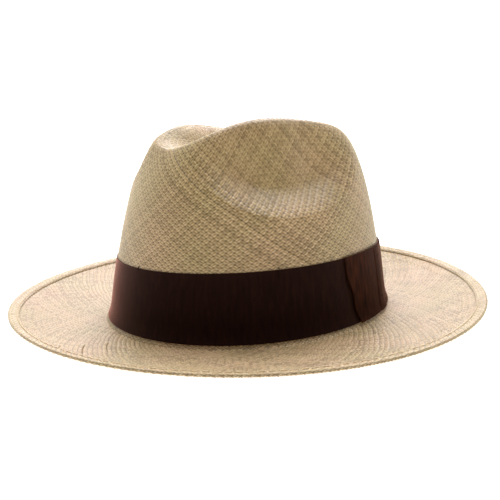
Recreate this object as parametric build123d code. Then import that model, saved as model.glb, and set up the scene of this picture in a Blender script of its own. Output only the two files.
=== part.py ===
from build123d import *
import math
import os

# A panama hat with a centre dent, two front pinches and a grosgrain band tied in a flat side bow.
# Millimetres, +Z up. The front of the hat faces -Y and the wearer's left side, with the bow, faces +X.
# The origin is on the surface that the hat stands on, below the middle of the brim.
# Angles are in degrees from the front of the hat, positive towards the wearer's left.

# Straw
STRAW = 1.2                     # thickness of the woven straw
FOOT_HALF_WIDTH = 87.0          # crown's outer half width at the brim break, without the flare
FOOT_HALF_LENGTH = 101.0
WALL_LEAN = 0.098               # inward lean of the crown wall, per millimetre of height
FLARE = 3.0                     # how far the wall flares out into the brim
FLARE_HEIGHT = 4.0

# Crown top: the rounded ridge round the dent
RIDGE_HALF_WIDTH = 49.6
RIDGE_HALF_LENGTH = 64.6
RIDGE_SHIFT = -2.1              # the ridge sits a little forward
RIDGE_SIDE = 126.6              # height of the ridge above the brim break, at the sides
RIDGE_FRONT_DROP = 16.0
RIDGE_BACK_DROP = 17.5
RIDGE_TILT = 2.3                # the left ridge stands this much higher, the right ridge lower
FRONT_SPREAD = 38.5             # angles over which the ridge falls to the front and to the back
BACK_SPREAD = 62.0
SHOULDER_POWER = 2.25           # superellipse power of the shoulder, softer in front than behind
SHOULDER_SWING = 0.45
DENT_HEIGHT = 99.0              # lowest part of the dent above the brim break

# The two pinches on the front sides of the crown
PINCH_ANGLE = 70.0
PINCH_HALF_ANGLE = 40.0
PINCH_FOOT = 71.0               # height of the crease under the middle of a pinch
PINCH_RISE = 20.0               # how much higher the crease runs at the ends of the pinch
PINCH_DEPTH = 9.5
PINCH_SLOPE = 16.5              # height over which the wall steps in
PINCH_REACH = 1.27              # where its ends run out, as a share of PINCH_HALF_ANGLE
PINCH_FADE = 0.9                # share over which they run out
BOWL_DEPTH = 6.0                # how much deeper the pinch is between its crease and the ridge
BOWL_SKEW = 0.8                 # below 1, the deepest part lies nearer the crease

# Brim
BRIM_HALF_WIDTH = 156.0
BRIM_HALF_LENGTH = 163.0
BRIM_RISE = 11.4                # mean height of the rim above the brim break
BRIM_SADDLE = 1.5               # front and back of the rim stand this much higher, the sides lower
BRIM_BACK_LIFT = 1.2            # the back stands this much higher still, the front lower
BRIM_CURL = 1.5                 # power of the brim's upward curve
FOLD_WIDTH = 8.0                # turned-over edge
FOLD_THICK = 0.9
FOLD_STEP = 0.7                 # width of the slope at the inner side of the fold
RIM_ROUND = 1.0                 # how far the rounded rim stands out

# Ribbon
RIBBON = 0.4                    # thickness of the grosgrain
GAP = 0.25                      # clearance between neighbouring pieces
BAND_FOOT = 2.2                 # height of the band's lower edge above the brim break
BAND_WIDTH = 39.7
BAND_TILT = 1.1                 # the band's upper edge rises by this angle towards the bow
BAND_TILT_ANGLE = 115.0         # side towards which it rises
BOW_START = 89.0                # angle of the front wing's free edge at the top of the band
BOW_SLANT = 5.5                 # how far the free edge leans back towards the bottom, in degrees
WING_OVERHANG = 0.6             # how far the wings stand past the band above
WING_DROP = 0.2                 # and below
REAR_WING_OVERHANG = -1.4       # the rear wing ends this far below the band's upper edge
REAR_WING_TAPER = 3.0           # how far its free edge leans forwards at the foot
EDGE_BENDS = ((0.22, 0.68), (0.62, 0.30))  # S of the free edge: shares of its lean and of its height
KNOT_ANGLE = 115.5              # middle of the bow
KNOT_WIDTH = 15.0
KNOT_SPLIT = 1.5                # each wing ends this far from the middle of the knot
KNOT_OVERHANG = -0.2            # the knot ends this far below the band's upper edge
KNOT_WAIST = 1.5                # how far its sides draw in at half height
REAR_WING_END = 142.0
TAIL_END = 130.0
TAIL_TUCK = 2.0                 # the tail starts this many degrees behind the front wing's free edge
TAIL_TAPER = 4.0                # slant of the tail's cut end
TACK_ANGLES = (0, 60, 180, 270)
TACK_LENGTH = 3.0
BOW_TACK_INSET = (8.0, 6.0)     # of the bow's two stitches, from the band's foot and from its top
BOW_TACK_LENGTH = 4.0
TACK_STAND = 0.55               # height of a tack's middle above the ribbon

# Sweatband
SWEATBAND_WIDTH = 33.0
SWEATBAND_THICK = 0.9
SWEATBAND_FOOT = 2.8            # height of its lower edge above the surface the hat stands on
SEAM_GAP = 0.8                  # opening between its two ends at the back
SEAM_STITCHES = (20, 23, 26, 29, 32)
SMALL_BOW_HALF_LENGTH = 13.0    # flat bow that covers the lower part of the seam
SMALL_BOW_HALF_WIDTH = 5.5
SMALL_BOW_HEIGHT = 11.5
SMALL_BOW_WAIST = 1.5
SMALL_BOW_KNOT = 2.5
LABEL_ANGLE = 215.0
LABEL_HEIGHT = 19.0
LABEL_HALF_LENGTH = 10.0
LABEL_HALF_WIDTH = 5.0
LABEL_THICK = 0.3
REED_DIAMETER = 2.0
THREAD = 0.5
THREAD_LIFT = 0.05              # clearance under the hem's stitches
HEM_STITCHES = 180
HEM_STITCH_LENGTH = 3.4
HEM_STITCH_INSET = 2.0          # from the inner edge of the turned-over rim
SWEATBAND_STITCHES = 110
SWEATBAND_STITCH_LENGTH = 3.0
SWEATBAND_STITCH_HEIGHT = 2.5   # above the sweatband's lower edge
SEAM_STITCH_LENGTH = 4.0
SWEATBAND_THREAD_LIFT = 0.1

RING_POINTS = 48
SPARE = 4.0                     # extra height that is trimmed off again
CUT_TOP = 60.0                  # upper end of the slits that open the band and the sweatband
CUT_REACH = 140.0               # how far a cutter reaches outwards


def smooth(value):
    """A step from 0 to 1 with level ends."""
    value = min(max(value, 0.0), 1.0)
    return value * value * (3.0 - 2.0 * value)


def ridge_height(angle):
    """Height of the ridge above the brim break."""
    from_front = abs((angle + 180.0) % 360.0 - 180.0)
    front = RIDGE_FRONT_DROP * math.exp(-((from_front / FRONT_SPREAD) ** 2))
    back = RIDGE_BACK_DROP * math.exp(-(((180.0 - from_front) / BACK_SPREAD) ** 2))
    return RIDGE_SIDE - front - back + RIDGE_TILT * math.sin(math.radians(angle))


def pinch(angle, height):
    """How far the front pinches push the wall in."""
    from_front = abs((angle + 180.0) % 360.0 - 180.0)
    across = (from_front - PINCH_ANGLE) / PINCH_HALF_ANGLE
    crease = PINCH_FOOT + PINCH_RISE * across * across
    ends = smooth((PINCH_REACH - abs(across)) / PINCH_FADE)
    hollow = min(max((height - crease) / (ridge_height(angle) - crease), 0.0), 1.0)
    bowl = BOWL_DEPTH * max(math.sin(math.pi * hollow ** BOWL_SKEW), 0.0)
    return ends * (PINCH_DEPTH * smooth((height - crease) / PINCH_SLOPE) + bowl)


def wall_point(angle, share):
    """A point of the crown's outer wall. share is the height as a share of the ridge's height."""
    sine = math.sin(math.radians(angle))
    cosine = math.cos(math.radians(angle))
    height = ridge_height(angle) * share
    power = SHOULDER_POWER - SHOULDER_SWING * cosine
    reach = max(1.0 - max(share, 0.0) ** power, 0.0) ** (1.0 / power)
    half_width = RIDGE_HALF_WIDTH + (FOOT_HALF_WIDTH - WALL_LEAN * height - RIDGE_HALF_WIDTH) * reach
    half_length = RIDGE_HALF_LENGTH + (FOOT_HALF_LENGTH - WALL_LEAN * height - RIDGE_HALF_LENGTH) * reach
    shift = RIDGE_SHIFT * (1.0 - reach)
    outward = FLARE * math.exp(-height / FLARE_HEIGHT) - pinch(angle, height)
    normal = math.hypot(sine / FOOT_HALF_WIDTH, cosine / FOOT_HALF_LENGTH)
    x = half_width * sine + outward * sine / FOOT_HALF_WIDTH / normal
    y = shift - half_length * cosine - outward * cosine / FOOT_HALF_LENGTH / normal
    return Vector(x, y, height)


def rim_height(angle):
    """Height of the rim above the brim break."""
    turn = math.radians(angle)
    return BRIM_RISE + BRIM_SADDLE * math.cos(2.0 * turn) - BRIM_BACK_LIFT * math.cos(turn)


def hat_point(angle, station):
    """A point of the straw's upper face, above the brim break.

    station is 0 in the middle of the dent, 1 on the ridge, 2 at the brim break and 3 at the rim.
    """
    if station < 1.0:
        ridge = wall_point(angle, 1.0)
        depth = math.sin(math.pi * station / 2.0) ** 2
        height = DENT_HEIGHT + (ridge.Z - DENT_HEIGHT) * depth
        return Vector(ridge.X * station, RIDGE_SHIFT + (ridge.Y - RIDGE_SHIFT) * station, height)
    if station <= 2.0:
        turn = math.radians(90.0 * (2.0 - station))
        power = SHOULDER_POWER - SHOULDER_SWING * math.cos(math.radians(angle))
        return wall_point(angle, max(math.sin(turn), 0.0) ** (2.0 / power))
    out = station - 2.0
    foot = wall_point(angle, 0.0)
    sine = math.sin(math.radians(angle))
    cosine = math.cos(math.radians(angle))
    x = foot.X + (BRIM_HALF_WIDTH * sine - foot.X) * out
    y = foot.Y + (-BRIM_HALF_LENGTH * cosine - foot.Y) * out
    return Vector(x, y, rim_height(angle) * out ** BRIM_CURL)


def hat_normal(angle, station):
    """Unit normal of the upper face, pointing away from the head."""
    low, high = station - 0.004, station + 0.004
    zone = math.floor(station)
    if station > 0.0 and low < zone:
        low = station
    if high > zone + 1 and station < zone + 1:
        high = station
    along = hat_point(angle, max(high, 0.004)) - hat_point(angle, max(low, 0.0))
    around = hat_point(angle + 0.5, station) - hat_point(angle - 0.5, station)
    return along.cross(around).normalized()


def ring_wire(points):
    """A closed smooth wire through a ring of points."""
    spacing = [index / len(points) for index in range(len(points) + 1)]
    return Wire([Edge.make_spline(points, periodic=True, parameters=spacing)])


def ring_angles():
    return [360.0 * index / RING_POINTS for index in range(RING_POINTS)]


def straw_ring(station, lift):
    """One ring of the straw's face, lifted off the upper face along its normal."""
    raise_to_stand = Vector(0.0, 0.0, STRAW)
    points = []
    for angle in ring_angles():
        points.append(hat_point(angle, station) + hat_normal(angle, station) * lift + raise_to_stand)
    return ring_wire(points)


def rim_station(inset):
    """Station of a ring that lies this far in from the rim."""
    return 3.0 - inset / (BRIM_HALF_WIDTH - FOOT_HALF_WIDTH - FLARE)


def make_straw_body():
    """Crown and brim: one woven sheet, with the rim turned over onto the brim."""
    dent = [0.14, 0.3, 0.46, 0.62, 0.77, 0.9, 1.0]
    turns = [80, 70, 62, 56, 51, 47, 44, 41.5, 39, 36.5, 34, 31, 27, 22, 17, 12, 7, 3.5, 1.5, 0.5, 0.2]
    wall = [2.0 - turn / 90.0 for turn in turns]
    brim = [2.03, 2.08, 2.16, 2.28, 2.42, 2.58, 2.74]
    face = dent + wall + brim
    middle = (FOLD_THICK - STRAW) / 2.0
    half = (FOLD_THICK + STRAW) / 2.0
    sections = [Vertex(*(hat_point(0.0, 0.0) + Vector(0.0, 0.0, STRAW)))]
    for station in face:
        sections.append(straw_ring(station, 0.0))
    sections.append(straw_ring(rim_station(FOLD_WIDTH), 0.0))
    sections.append(straw_ring(rim_station(FOLD_WIDTH - FOLD_STEP), FOLD_THICK))
    for turn in (90.0, 60.0, 30.0, 0.0, -30.0, -60.0, -90.0):
        lift = middle + half * math.sin(math.radians(turn))
        inset = RIM_ROUND * (1.0 - math.cos(math.radians(turn)))
        sections.append(straw_ring(rim_station(inset), lift))
    for station in reversed(face):
        sections.append(straw_ring(station, -STRAW))
    sections.append(Vertex(*hat_point(0.0, 0.0)))
    return Solid.make_loft(sections, ruled=True)


def wall_outward(angle):
    """Level unit normal of the head oval."""
    sine = math.sin(math.radians(angle)) / FOOT_HALF_WIDTH
    cosine = math.cos(math.radians(angle)) / FOOT_HALF_LENGTH
    return Vector(sine, -cosine, 0.0).normalized()


def beside_wall(angle, height, outward, flared=True):
    """A point this far outside the crown wall, at a height above the brim break."""
    if not flared:
        outward -= FLARE * math.exp(-height / FLARE_HEIGHT)
    point = wall_point(angle, height / ridge_height(angle))
    return point + wall_outward(angle) * outward + Vector(0.0, 0.0, STRAW)


def wall_shell(heights, inner, outer, flared=True):
    """A closed band round the crown wall; inner and outer are distances from the straw's outer face."""
    solids = []
    for offsets in (outer, inner):
        rings = []
        for height, offset in zip(heights, offsets):
            rings.append(ring_wire([beside_wall(a, height, offset, flared) for a in ring_angles()]))
        solids.append(Solid.make_loft(rings, ruled=True))
    return solids[0] - solids[1]


def even_shell(foot, top, inner, outer, flared=True):
    """A closed band of even thickness, in five steps of height."""
    steps = 5
    heights = [foot + (top - foot) * index / steps for index in range(steps + 1)]
    return wall_shell(heights, [inner] * (steps + 1), [outer] * (steps + 1), flared)


def band_top(angle):
    """Height of the band's upper edge."""
    tilt = math.tan(math.radians(BAND_TILT)) * FOOT_HALF_WIDTH
    return BAND_FOOT + BAND_WIDTH + tilt * math.cos(math.radians(angle - BAND_TILT_ANGLE))


def wall_plane(angle):
    """An upright plane through the hat's middle: x along the ribbon, y up, facing outwards at this angle."""
    radians = math.radians(angle)
    along = Vector(math.cos(radians), math.sin(radians), 0.0)
    away = Vector(math.sin(radians), -math.cos(radians), 0.0)
    return Plane(origin=(0.0, 0.0, STRAW), x_dir=along, z_dir=away)


def wall_cutter(angle, outline):
    """An outline on the upright plane, extruded outwards through one side of the wall."""
    face = Face(outline)
    return Solid.extrude(wall_plane(angle).from_local_coords(face), wall_plane(angle).z_dir * CUT_REACH)


def ribbon_offset(layer):
    """Inner and outer face of a ribbon layer, counted outwards from the band as layer 0."""
    inner = GAP + layer * (RIBBON + GAP / 2.0)
    return inner, inner + RIBBON


def make_hat_band():
    """Grosgrain ribbon round the foot of the crown; its ends meet under the bow's knot."""
    inner, outer = ribbon_offset(0)
    band = even_shell(BAND_FOOT, BAND_FOOT + BAND_WIDTH + SPARE, inner, outer)
    tilt = math.radians(BAND_TILT)
    side = math.radians(BAND_TILT_ANGLE)
    lean = Vector(-math.sin(tilt) * math.sin(side), math.sin(tilt) * math.cos(side), math.cos(tilt))
    upper_edge = Plane(origin=(0.0, 0.0, BAND_FOOT + BAND_WIDTH + STRAW), z_dir=lean)
    band = split(band, bisect_by=upper_edge, keep=Keep.BOTTOM)
    slit = Wire.make_polygon([(-GAP, -SPARE), (GAP, -SPARE), (GAP, CUT_TOP), (-GAP, CUT_TOP)], close=True)
    return band - wall_cutter(KNOT_ANGLE, slit)


def along_ribbon(angle, middle):
    """Distance along the upright plane at the middle angle of a point of the ribbon at another angle."""
    point = beside_wall(angle, BAND_FOOT + BAND_WIDTH / 2.0, 2.0)
    return wall_plane(middle).to_local_coords(point).X


def bow_layer(layer, middle, outline):
    """One flat piece of the bow: a ribbon layer cut to an outline."""
    inner, outer = ribbon_offset(layer)
    shell = even_shell(BAND_FOOT - 3.0 * WING_DROP, BAND_FOOT + BAND_WIDTH + SPARE, inner, outer)
    return shell & wall_cutter(middle, outline)


def make_front_wing():
    """Front loop of the bow, with its S-shaped slanting free edge."""
    middle = (BOW_START + KNOT_ANGLE) / 2.0
    top = band_top(middle) + WING_OVERHANG
    foot = BAND_FOOT - WING_DROP
    start = along_ribbon(BOW_START, middle)
    lean = along_ribbon(BOW_START + BOW_SLANT, middle) - start
    end = along_ribbon(KNOT_ANGLE, middle) - KNOT_SPLIT
    tall = top - foot
    bends = [(start + share * lean, foot + rise * tall) for share, rise in EDGE_BENDS]
    free_edge = Edge.make_spline([(start, top), *bends, (start + lean, foot)])
    rest = Edge.make_line((start + lean, foot), (end, foot))
    back = Edge.make_line((end, foot), (end, top))
    lid = Edge.make_line((end, top), (start, top))
    return bow_layer(2, middle, Wire([free_edge, rest, back, lid]))


def make_rear_wing():
    """Rear loop of the bow."""
    middle = (KNOT_ANGLE + REAR_WING_END) / 2.0
    top = band_top(middle) + REAR_WING_OVERHANG
    foot = BAND_FOOT - WING_DROP
    start = along_ribbon(KNOT_ANGLE, middle) + KNOT_SPLIT
    end = along_ribbon(REAR_WING_END, middle)
    heel = end - REAR_WING_TAPER
    outline = Wire.make_polygon([(start, foot), (heel, foot), (end, top), (start, top)], close=True)
    return bow_layer(2, middle, outline)


def make_bow_tail():
    """Ribbon end under the wings, cut on the slant, that shows along the bow's lower edge."""
    middle = (BOW_START + TAIL_END) / 2.0
    top = band_top(middle) - WING_OVERHANG
    foot = BAND_FOOT - 2.0 * WING_DROP
    start = along_ribbon(BOW_START + BOW_SLANT + TAIL_TUCK, middle)
    end = along_ribbon(TAIL_END, middle)
    cut = end - TAIL_TAPER
    outline = Wire.make_polygon([(start, foot), (end, foot), (cut, top), (start, top)], close=True)
    return bow_layer(1, middle, outline)


def make_bow_knot():
    """Upright wrap round the middle of the bow."""
    inner, outer = ribbon_offset(3)
    foot = BAND_FOOT - 2.0 * WING_DROP
    top = band_top(KNOT_ANGLE) + KNOT_OVERHANG
    shell = even_shell(foot - GAP, top + GAP, inner, outer)
    half = KNOT_WIDTH / 2.0
    waist = half - KNOT_WAIST
    middle = (foot + top) / 2.0
    outline = Wire.make_polygon([
        (-half, foot), (half, foot), (waist, middle), (half, top), (-half, top), (-waist, middle),
    ], close=True)
    return shell & wall_cutter(KNOT_ANGLE, outline)


def thread_bar(point, along, up, length):
    """One short stitch: a bar with its middle at a point."""
    plane = Plane(origin=point, x_dir=along, z_dir=up)
    return plane.location * Box(length, THREAD, THREAD)


def wall_stitch(angle, height, outward, length, upright=False):
    """One stitch that lies on the crown wall or on the sweatband."""
    point = beside_wall(angle, height, outward, flared=False)
    ahead = beside_wall(angle + 0.5, height, outward, flared=False)
    behind = beside_wall(angle - 0.5, height, outward, flared=False)
    above = beside_wall(angle, height + 0.5, outward, flared=False)
    along = (above - point) if upright else (ahead - behind)
    return thread_bar(point, along, wall_outward(angle), length)


def make_band_tacks():
    """Four tack stitches over the band's upper edge."""
    outward = ribbon_offset(0)[1] + TACK_STAND
    return Compound([
        wall_stitch(angle, band_top(angle), outward, TACK_LENGTH, upright=True) for angle in TACK_ANGLES
    ])


def make_bow_tacks():
    """Two stitches through the knot."""
    outward = ribbon_offset(3)[1] + TACK_STAND
    low, high = BOW_TACK_INSET
    heights = (BAND_FOOT + low, band_top(KNOT_ANGLE) - high)
    return Compound([wall_stitch(KNOT_ANGLE, height, outward, BOW_TACK_LENGTH) for height in heights])


def make_hem_stitching():
    """Ring of stitches along the inner side of the turned-over rim."""
    station = rim_station(FOLD_WIDTH - HEM_STITCH_INSET)
    stitches = []
    for index in range(HEM_STITCHES):
        angle = 360.0 * index / HEM_STITCHES
        normal = hat_normal(angle, station)
        point = hat_point(angle, station) + normal * (FOLD_THICK + THREAD / 2.0 + THREAD_LIFT)
        along = hat_point(angle + 0.5, station) - hat_point(angle - 0.5, station)
        stitches.append(thread_bar(point + Vector(0.0, 0.0, STRAW), along, normal, HEM_STITCH_LENGTH))
    return Compound(stitches)


def sweatband_face():
    """Distance of the sweatband's head side from the straw's outer face."""
    return -(STRAW + GAP + SWEATBAND_THICK)


def make_sweatband():
    """Leather strip inside the foot of the crown, open at the back seam."""
    foot = SWEATBAND_FOOT - STRAW
    band = even_shell(foot, foot + SWEATBAND_WIDTH, sweatband_face(), -(STRAW + GAP), flared=False)
    half = SEAM_GAP / 2.0
    slit = Wire.make_polygon([(-half, -SPARE), (half, -SPARE), (half, CUT_TOP), (-half, CUT_TOP)], close=True)
    return band - wall_cutter(180.0, slit)


def make_sweatband_reed():
    """Thin cord under the sweatband's lower edge, of eight-sided section."""
    middle = sweatband_face() + SWEATBAND_THICK / 2.0
    radius = REED_DIAMETER / 2.0
    flat = radius * math.tan(math.radians(22.5))
    centre = SWEATBAND_FOOT - STRAW - GAP - radius
    heights = [centre - radius, centre - flat, centre + flat, centre + radius]
    reach = [flat, radius, radius, flat]
    return wall_shell(heights, [middle - r for r in reach], [middle + r for r in reach], flared=False)


def make_sweatband_stitching():
    """Ring of stitches just above the reed."""
    outward = sweatband_face() - THREAD / 2.0 - SWEATBAND_THREAD_LIFT
    height = SWEATBAND_FOOT - STRAW + SWEATBAND_STITCH_HEIGHT
    stitches = []
    for index in range(SWEATBAND_STITCHES):
        angle = 360.0 * (index + 0.5) / SWEATBAND_STITCHES
        stitches.append(wall_stitch(angle, height, outward, SWEATBAND_STITCH_LENGTH))
    return Compound(stitches)


def make_seam_stitches():
    """Stitches that draw the two ends of the sweatband together."""
    outward = sweatband_face() - THREAD / 2.0 - SWEATBAND_THREAD_LIFT
    foot = SWEATBAND_FOOT - STRAW
    length = SEAM_STITCH_LENGTH
    return Compound([wall_stitch(180.0, foot + rise, outward, length) for rise in SEAM_STITCHES])


def make_sweatband_bow():
    """Small flat ribbon bow over the lower part of the seam."""
    face = sweatband_face() - GAP
    low, high = SMALL_BOW_HEIGHT - SMALL_BOW_HALF_WIDTH, SMALL_BOW_HEIGHT + SMALL_BOW_HALF_WIDTH
    waist_low, waist_high = SMALL_BOW_HEIGHT - SMALL_BOW_WAIST, SMALL_BOW_HEIGHT + SMALL_BOW_WAIST
    shell = even_shell(low - GAP, high + GAP, face - RIBBON, face, flared=False)
    half, knot = SMALL_BOW_HALF_LENGTH, SMALL_BOW_KNOT
    outline = Wire.make_polygon([
        (-half, low), (-knot, waist_low), (knot, waist_low), (half, low),
        (half, high), (knot, waist_high), (-knot, waist_high), (-half, high),
    ], close=True)
    return shell & wall_cutter(180.0, outline)


def make_size_label():
    """Blank paper label on the head side of the sweatband."""
    face = sweatband_face() - GAP / 2.0
    low, high = LABEL_HEIGHT - LABEL_HALF_WIDTH, LABEL_HEIGHT + LABEL_HALF_WIDTH
    shell = even_shell(low - GAP, high + GAP, face - LABEL_THICK, face, flared=False)
    half = LABEL_HALF_LENGTH
    outline = Wire.make_polygon([(-half, low), (half, low), (half, high), (-half, high)], close=True)
    return shell & wall_cutter(LABEL_ANGLE, outline)


MAKERS = {
    "straw_body": make_straw_body,
    "hem_stitching": make_hem_stitching,
    "hat_band": make_hat_band,
    "band_tacks": make_band_tacks,
    "bow_front_wing": make_front_wing,
    "bow_rear_wing": make_rear_wing,
    "bow_tail": make_bow_tail,
    "bow_knot": make_bow_knot,
    "bow_tacks": make_bow_tacks,
    "sweatband": make_sweatband,
    "sweatband_reed": make_sweatband_reed,
    "sweatband_stitching": make_sweatband_stitching,
    "sweatband_seam_stitches": make_seam_stitches,
    "sweatband_bow": make_sweatband_bow,
    "size_label": make_size_label,
}

os.makedirs("parts", exist_ok=True)
for node, maker in MAKERS.items():
    export_step(maker(), "parts/" + node + ".step")
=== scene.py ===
import math

import bpy
import numpy as np
from mathutils import Matrix, Vector


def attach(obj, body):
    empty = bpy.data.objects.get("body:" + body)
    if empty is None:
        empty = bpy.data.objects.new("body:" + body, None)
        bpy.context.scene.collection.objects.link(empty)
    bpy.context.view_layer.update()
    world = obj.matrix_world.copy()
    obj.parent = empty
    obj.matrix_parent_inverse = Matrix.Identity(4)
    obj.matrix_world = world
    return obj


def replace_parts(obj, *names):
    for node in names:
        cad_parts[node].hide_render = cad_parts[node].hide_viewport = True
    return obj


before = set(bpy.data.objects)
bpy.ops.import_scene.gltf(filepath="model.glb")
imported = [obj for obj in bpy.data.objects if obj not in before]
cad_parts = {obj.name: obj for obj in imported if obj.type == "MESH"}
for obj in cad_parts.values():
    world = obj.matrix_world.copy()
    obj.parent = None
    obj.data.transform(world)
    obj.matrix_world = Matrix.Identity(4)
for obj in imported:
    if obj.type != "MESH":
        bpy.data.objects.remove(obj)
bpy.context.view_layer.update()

# A panama hat: woven straw crown and brim, grosgrain band with a flat side bow, leather sweatband.
# The hat's shape is the same formula as in the CAD model, in millimetres above the brim break, and every
# finished mesh is in metres. Angles are in degrees from the hat's front, positive to the wearer's left.

MM = 0.001
BODY = "root"

# ---------------------------------------------------------------- shape of the hat, as in the CAD model
STRAW = 1.2
FOOT_HALF_WIDTH = 87.0
FOOT_HALF_LENGTH = 101.0
WALL_LEAN = 0.098
FLARE = 3.0
FLARE_HEIGHT = 4.0
RIDGE_HALF_WIDTH = 49.6
RIDGE_HALF_LENGTH = 64.6
RIDGE_SHIFT = -2.1
RIDGE_SIDE = 126.6
RIDGE_FRONT_DROP = 16.0
RIDGE_BACK_DROP = 17.5
RIDGE_TILT = 2.3
FRONT_SPREAD = 38.5
BACK_SPREAD = 62.0
SHOULDER_POWER = 2.25
SHOULDER_SWING = 0.45
DENT_HEIGHT = 99.0
PINCH_ANGLE = 70.0
PINCH_HALF_ANGLE = 40.0
PINCH_FOOT = 71.0
PINCH_RISE = 20.0
PINCH_DEPTH = 9.5
PINCH_SLOPE = 16.5
PINCH_REACH = 1.27
PINCH_FADE = 0.9
BOWL_DEPTH = 6.0
BOWL_SKEW = 0.8
BRIM_HALF_WIDTH = 156.0
BRIM_HALF_LENGTH = 163.0
BRIM_RISE = 11.4
BRIM_SADDLE = 1.5
BRIM_BACK_LIFT = 1.2
BRIM_CURL = 1.5
FOLD_WIDTH = 8.0
FOLD_THICK = 0.9
RIM_ROUND = 1.0
GAP = 0.25
BAND_FOOT = 2.2
BAND_WIDTH = 39.7
BAND_TILT = 1.1
BAND_TILT_ANGLE = 115.0
BOW_START = 89.0
BOW_SLANT = 5.5
WING_OVERHANG = 0.6
REAR_WING_OVERHANG = -1.4
WING_DROP = 0.2
KNOT_ANGLE = 115.5
KNOT_WIDTH = 15.0
KNOT_RADIUS = 93.0              # about the hat's mean radius, which turns the knot's width into an angle
KNOT_OVERHANG = -0.2
REAR_WING_END = 142.0
TAIL_END = 130.0
SWEATBAND_WIDTH = 33.0
SWEATBAND_THICK = 0.9
SWEATBAND_FOOT = 2.8
REED_DIAMETER = 2.0

# ---------------------------------------------------------------- the weave
STRAND_PAIR = 2.97              # width of a pair of straws, which is one square of the weave
BRIM_PAIR = 2.8                 # the same on the brim, which is a little finer
COVERED_HEIGHT = 35.0           # below this the band and the sweatband hide both faces of the crown
ROW_CLIMB = 84.0                # how far level rows of weaving would climb from there to the ridge
RELIEF = 0.65                   # how far a straw stands above the grooves beside it
TRIM_HEIGHT = 0.6               # relief where two rings of weaving meet, as a share of RELIEF
SQUARE_CUTS = (0.0, 0.24, 0.5, 0.76)        # a straw's edge, its middle, the next one's edge and middle
ARCH = (0.0, 0.82, 1.0, 0.82)               # height along the straws on top, at each cut
ACROSS = (0.0, 1.0, 0.12, 1.0)              # height across them
FLATTEST_SQUARE = 0.45          # least height of a square, as a share of a pair of straws
HEIGHT_WOBBLE = 0.05            # unevenness of the straws, as a share of RELIEF
CORNER_SINK = 0.25              # extra depth where four squares meet, as a share of RELIEF
UNDERSIDE_RELIEF = 0.6          # relief of the inner face, as a share of the outer one's
INNER_CORNER_RISE = 0.1         # how much thinner the straw is where four squares meet, likewise
STRAWS_KNOWN = 4096             # straws that have a tone of their own
CORNER_PAINTED_SHADE = 1.0                # painted shade of the hole where four squares meet, 0 to 1
EDGE_PAINTED_SHADE = 0.26                 # and of the squares' edges
BESIDE_PAINTED_SHADE = 0.5                # and where a straw dives under the next square
GROOVE_PAINTED_SHADE = 0.46               # and of the grooves inside a square
TRIM_PAINTED_SHADE = 0.12                 # and of the trimmed edges
GROOVE_HEIGHT = 0.6             # below this a point lies in a groove
TIGHT_PAINTED_SHADE = 0.4                 # even painted shade of the weave where it is drawn shut
TIGHT_SHARE = 0.42              # how far the weave is drawn shut in the depth of the pinches
TIGHT_DEPTH = 11.0              # depth of pinch at which the weave is as tight as it gets
SIDE_START = 0.93               # station just over the ridge where the crown side's weave begins
LEVEL_ROWS = 0.8                # share of the crown side over which the rows turn from level to even
ANGLE_STEP = 0.4                # degrees to either side between which slopes round the hat are measured
BREAK_ROUND = 0.02              # station from the brim break at which crown and brim meet


def smooth(value):
    value = np.clip(value, 0.0, 1.0)
    return value * value * (3.0 - 2.0 * value)


def from_front(angle):
    return np.abs((angle + 180.0) % 360.0 - 180.0)


def ridge_height(angle):
    away = from_front(angle)
    front = RIDGE_FRONT_DROP * np.exp(-((away / FRONT_SPREAD) ** 2))
    back = RIDGE_BACK_DROP * np.exp(-(((180.0 - away) / BACK_SPREAD) ** 2))
    return RIDGE_SIDE - front - back + RIDGE_TILT * np.sin(np.radians(angle))


def pinch(angle, height):
    across = (from_front(angle) - PINCH_ANGLE) / PINCH_HALF_ANGLE
    crease = PINCH_FOOT + PINCH_RISE * across * across
    ends = smooth((PINCH_REACH - np.abs(across)) / PINCH_FADE)
    hollow = np.clip((height - crease) / (ridge_height(angle) - crease), 0.0, 1.0)
    bowl = BOWL_DEPTH * np.maximum(np.sin(np.pi * hollow ** BOWL_SKEW), 0.0)
    return ends * (PINCH_DEPTH * smooth((height - crease) / PINCH_SLOPE) + bowl)


def shoulder_power(angle):
    return SHOULDER_POWER - SHOULDER_SWING * np.cos(np.radians(angle))


def outward_of(angle):
    """Level unit normal of the head oval."""
    x = np.sin(np.radians(angle)) / FOOT_HALF_WIDTH
    y = -np.cos(np.radians(angle)) / FOOT_HALF_LENGTH
    size = np.hypot(x, y)
    return np.stack([x / size, y / size, 0.0 * x], -1)


def wall_point(angle, share, extra=0.0):
    """Points of the crown wall; share is the height as a share of the ridge's height."""
    sine, cosine = np.sin(np.radians(angle)), np.cos(np.radians(angle))
    height = ridge_height(angle) * share
    power = shoulder_power(angle)
    reach = np.maximum(1.0 - np.maximum(share, 0.0) ** power, 0.0) ** (1.0 / power)
    half_width = RIDGE_HALF_WIDTH + (FOOT_HALF_WIDTH - WALL_LEAN * height - RIDGE_HALF_WIDTH) * reach
    half_length = RIDGE_HALF_LENGTH + (FOOT_HALF_LENGTH - WALL_LEAN * height - RIDGE_HALF_LENGTH) * reach
    flat = np.stack([half_width * sine, RIDGE_SHIFT * (1.0 - reach) - half_length * cosine, height], -1)
    outward = FLARE * np.exp(-height / FLARE_HEIGHT) - pinch(angle, height) + extra
    return flat + outward_of(angle) * outward[..., None]


def beside_wall(angle, height, outward, flared=1.0):
    """Points this far outside the straw, at a height above the brim break."""
    outward = outward - (1.0 - flared) * FLARE * np.exp(-height / FLARE_HEIGHT)
    return wall_point(angle, height / ridge_height(angle), outward)


def rim_height(angle):
    turn = np.radians(angle)
    return BRIM_RISE + BRIM_SADDLE * np.cos(2.0 * turn) - BRIM_BACK_LIFT * np.cos(turn)


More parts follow.
